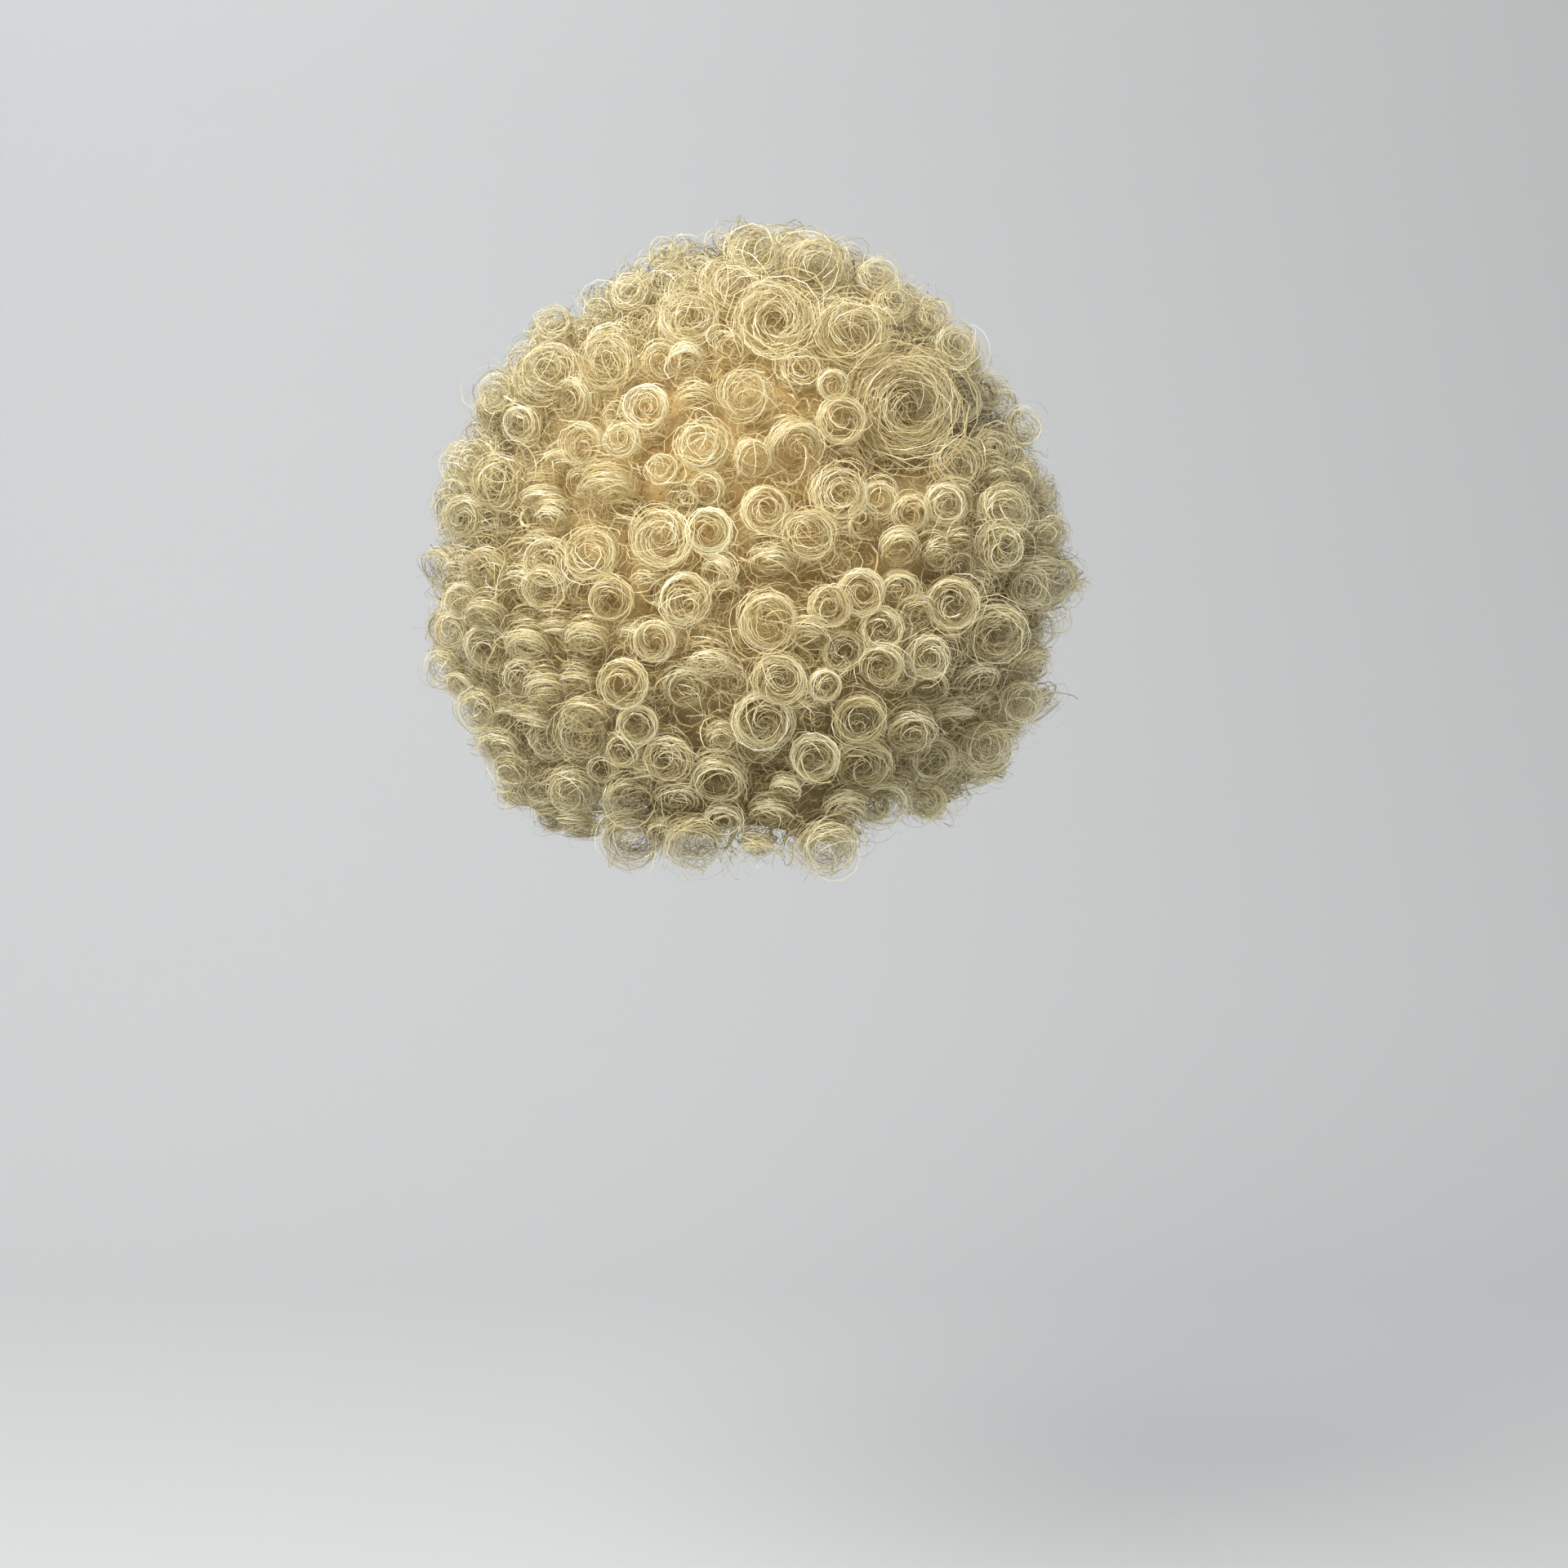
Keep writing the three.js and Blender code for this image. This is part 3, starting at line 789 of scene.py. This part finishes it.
def hem_object():
    """The round elastic hem along the cap's lower edge."""
    around = np.arange(-180.0, 180.0, HEM_STEP)
    edge = edge_at(around, "cap")
    edge = sum(np.roll(edge, shift) for shift in range(-HEM_EASE, HEM_EASE + 1)) / (2.0 * HEM_EASE + 1.0)
    middle = head_point(direction(around, edge), CAP_WALL * 0.5)
    along = unit(np.roll(middle, -1, axis=0) - np.roll(middle, 1, axis=0))
    outward = unit(middle - HEAD_CENTRE)
    upward = unit(np.cross(outward, along))
    outward = np.cross(along, upward)
    angle = np.linspace(0.0, 2.0 * math.pi, HEM_SIDES, endpoint=False)[None, :, None]
    spoke = np.cos(angle) * outward[:, None] + np.sin(angle) * upward[:, None]
    rings = middle[:, None] + HEM_RADIUS * spoke
    sections = len(around)
    here = np.arange(sections)[:, None] * HEM_SIDES
    there = (np.arange(sections)[:, None] + 1) % sections * HEM_SIDES
    corner = np.arange(HEM_SIDES)[None, :]
    beside = (corner + 1) % HEM_SIDES
    faces = np.stack((here + corner, here + beside, there + beside, there + corner), axis=-1)
    mesh = bpy.data.meshes.new("hem")
    mesh.from_pydata((rings.reshape(-1, 3) * MM).tolist(), [], faces.reshape(-1, 4).tolist())
    hem = bpy.data.objects.new("hem", mesh)
    bpy.context.scene.collection.objects.link(hem)
    return hem


def all_ringlets(look, rng):
    """The ringlets that the view from behind shows, and the ones strewn between them."""
    pixel_x, pixel_y, width, hang, neat = np.array(SEEN_CURLS).T
    seen = len(width)
    ray, width = scatter(seen_on_hair(pixel_x, pixel_y), width, look.spacing, rng)
    strewn = ray[seen:]
    more = len(strewn)
    # Towards the nape ringlets hang more, and there and at the sides they are neater.
    lower = smooth((angles_of(strewn)[1] - 20.0) / 70.0)
    hang = np.concatenate((hang, 0.95 * rng.random(more) ** 1.3 * lower))
    sunk = np.concatenate((np.full(seen, SEEN_SUNK), rng.uniform(*STREWN_SUNK, more)))
    neatest = np.maximum(lower, smooth(np.abs(strewn[:, 0]) / 0.8))
    neat = np.concatenate((neat, rng.uniform(*STREWN_NEAT, more) * neatest))
    turned = np.concatenate((np.full(seen, 2.0), rng.uniform(0.0, 2.2, more)))
    drawn_in = np.concatenate((np.zeros(seen), np.full(more, STREWN_DRAWN_IN)))
    return Locks(ray, rng, sunk, width, drawn_in, turned, hang, neat)


class WIG_OT_hair(bpy.types.Operator):
    """Make every row of hair: its ringlets, the frizz between them and the mat below"""

    bl_idname = "wig.hair"
    bl_label = "Hair"

    def execute(self, context):
        look = context.scene.wig
        rng = np.random.default_rng(look.seed)
        locks = all_ringlets(look, rng)
        rows = row_of(angles_of(locks.ray)[1])
        material = hair_finish(look)
        missing = [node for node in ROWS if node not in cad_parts]
        if missing:
            raise RuntimeError(f"the frame has no {', '.join(missing)}")
        for row, node in enumerate(ROWS):
            parts = [ringlet_part(locks.chosen(rows == row), look, rng), fringe_part(row, look, rng)]
            parts += [frizz_part(row, layer, look, rng) for layer in FRIZZ.values()]
            parts.append(mat_part(row))
            obj = mesh_object(f"{node}_strands", *join(parts))
            obj.data.materials.append(material)
            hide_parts(node)
            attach(obj, "root")
        return {"FINISHED"}


class WIG_OT_cap(bpy.types.Operator):
    """Make the stretch cap from a merged and smoothed copy of the frame's cap"""

    bl_idname = "wig.cap"
    bl_label = "Cap"

    def execute(self, context):
        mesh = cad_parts["cap"].data.copy()
        obj = bpy.data.objects.new("cap_net", mesh)
        context.scene.collection.objects.link(obj)
        bpy.ops.object.select_all(action="DESELECT")
        context.view_layer.objects.active = obj
        obj.select_set(True)
        bpy.ops.object.mode_set(mode="EDIT")
        bpy.ops.mesh.select_all(action="SELECT")
        bpy.ops.mesh.remove_doubles(threshold=1e-5)
        bpy.ops.mesh.tris_convert_to_quads()
        bpy.ops.object.mode_set(mode="OBJECT")
        modifier = obj.modifiers.new("smooth", "SUBSURF")
        modifier.levels = modifier.render_levels = 2
        bpy.ops.object.modifier_apply(modifier=modifier.name)
        obj.data.materials.clear()
        obj.data.materials.append(net_finish())
        hem = hem_object()
        hem.data.materials.append(hem_finish())
        hem.select_set(True)
        bpy.ops.object.join()
        bpy.ops.object.shade_smooth()
        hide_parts("cap")
        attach(obj, "root")
        return {"FINISHED"}


def backdrop_object():
    """A floor that bends up into a wall, as one smooth sheet."""
    bend = np.radians(np.linspace(0.0, 90.0, 17))
    curve = zip(WALL - BEND + BEND * np.sin(bend), FLOOR + BEND - BEND * np.cos(bend))
    profile = [(FLOOR_START, FLOOR), *curve, (WALL, WALL_TOP)]
    verts = [(side, y, z) for y, z in profile for side in (-BACKDROP_HALF, BACKDROP_HALF)]
    faces = [(i, i + 1, i + 3, i + 2) for i in range(0, len(verts) - 2, 2)]
    finish = Finish("backdrop")
    finish.set(Base_Color=(0.68, 0.69, 0.69, 1.0), Roughness=0.9)
    mesh = bpy.data.meshes.new("backdrop")
    mesh.from_pydata(verts, [], faces)
    mesh.shade_smooth()
    mesh.materials.append(finish.material)
    backdrop = bpy.data.objects.new("backdrop", mesh)
    bpy.context.scene.collection.objects.link(backdrop)
    return backdrop


def soft_light(name, place, aim, side, power, colour):
    data = bpy.data.lights.new(name, "AREA")
    data.size = side
    data.energy = power
    data.color = colour
    lamp = bpy.data.objects.new(name, data)
    lamp.location = place
    lamp.rotation_euler = (Vector(aim) - Vector(place)).to_track_quat("-Z", "Y").to_euler()
    bpy.context.scene.collection.objects.link(lamp)


def camera_behind():
    """The camera that looks level at the back of the hair."""
    data = bpy.data.cameras.new("view_from_behind")
    data.sensor_fit = "HORIZONTAL"
    data.angle = 2.0 * math.atan(VIEW_WIDTH / 2.0 / -CAMERA_PLACE[1])
    camera = bpy.data.objects.new("view_from_behind", data)
    camera.location = CAMERA_PLACE * MM
    camera.rotation_euler = (math.pi / 2.0, 0.0, 0.0)
    bpy.context.scene.collection.objects.link(camera)
    return camera


class WIG_OT_stage(bpy.types.Operator):
    """Set up the pale studio, its soft lights and the camera behind the wig"""

    bl_idname = "wig.stage"
    bl_label = "Stage"

    def execute(self, context):
        scene = context.scene
        backdrop_object()
        for light in LIGHTS:
            soft_light(*light)
        world = bpy.data.worlds.new("studio")
        world.use_nodes = True
        sky = world.node_tree.nodes["Background"]
        sky.inputs["Color"].default_value = SKY_COLOUR
        sky.inputs["Strength"].default_value = SKY_STRENGTH
        scene.world = world
        scene.view_settings.view_transform = "Standard"
        scene.camera = camera_behind()
        return {"FINISHED"}


class WIG_PT_sidebar(bpy.types.Panel):
    """The wig's steps and settings"""

    bl_label = "Ringlet Wig"
    bl_space_type = "VIEW_3D"
    bl_region_type = "UI"
    bl_category = "Wig"

    def draw(self, context):
        look = context.scene.wig
        for name in look.bl_rna.properties.keys():
            if name not in ("rna_type", "name"):
                self.layout.prop(look, name)
        for step in STEPS:
            self.layout.operator(step.bl_idname)


STEPS = (WIG_OT_stage, WIG_OT_cap, WIG_OT_hair)
CLASSES = (WigSettings, *STEPS, WIG_PT_sidebar)


def register():
    for cls in CLASSES:
        bpy.utils.register_class(cls)
    bpy.types.Scene.wig = bpy.props.PointerProperty(type=WigSettings)


def unregister():
    del bpy.types.Scene.wig
    for cls in reversed(CLASSES):
        bpy.utils.unregister_class(cls)


def main():
    register()
    bpy.ops.wig.stage()
    bpy.ops.wig.cap()
    bpy.ops.wig.hair()


if __name__ == "__main__":
    main()
